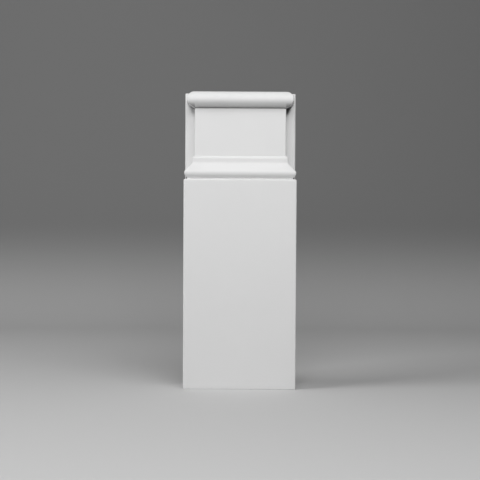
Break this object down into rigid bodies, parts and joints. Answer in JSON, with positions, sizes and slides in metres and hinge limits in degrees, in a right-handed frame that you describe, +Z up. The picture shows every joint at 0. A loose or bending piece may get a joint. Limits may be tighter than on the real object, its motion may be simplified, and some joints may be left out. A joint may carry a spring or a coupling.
{
  "type": "door surround plinth block",
  "caption": "Plinth block for the foot of a door surround: a plain slab, a splayed base moulding and a beaded neck on a flat backing board.",
  "frame": {"origin": "on the floor, under the middle of the block's bounding box", "axes": "+Z up the block, +Y out of its flat back towards the wall, so the moulded front faces -Y, and +X to the right of someone who looks at the front"},
  "size_m": [0.11, 0.035, 0.291],
  "materials": {
    "white_primer": "smooth factory coat of white primer, matte with a faint sheen"
  },
  "bodies": {
    "root": {"plinth_block": "white_primer"}
  },
  "joints": []
}
